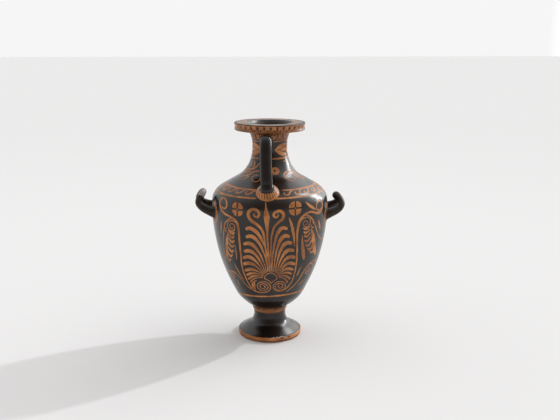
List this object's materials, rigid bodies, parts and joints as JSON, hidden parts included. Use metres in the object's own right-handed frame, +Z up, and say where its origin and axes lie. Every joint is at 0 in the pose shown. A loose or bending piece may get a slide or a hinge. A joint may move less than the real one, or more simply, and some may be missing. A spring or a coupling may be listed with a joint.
{
  "type": "hydria",
  "caption": "Tall black clay water jar with an overhanging lip, sloping shoulder, pedestal foot, an upright handle and upswept side handles, painted with orange palmettes.",
  "frame": {"origin": "centre of the foot on the surface the jar stands on", "axes": "+Z up the turning axis, the side handles on the X axis, the upright handle near -Y"},
  "size_m": [0.2451, 0.1906, 0.36],
  "materials": {
    "black_gloss": "thin black gloss slip with a soft sheen, slightly streaked and worn",
    "reserved_clay": "bare orange clay with a dull waxy sheen"
  },
  "bodies": {
    "root": {"hydria": "black_gloss"}
  },
  "joints": []
}
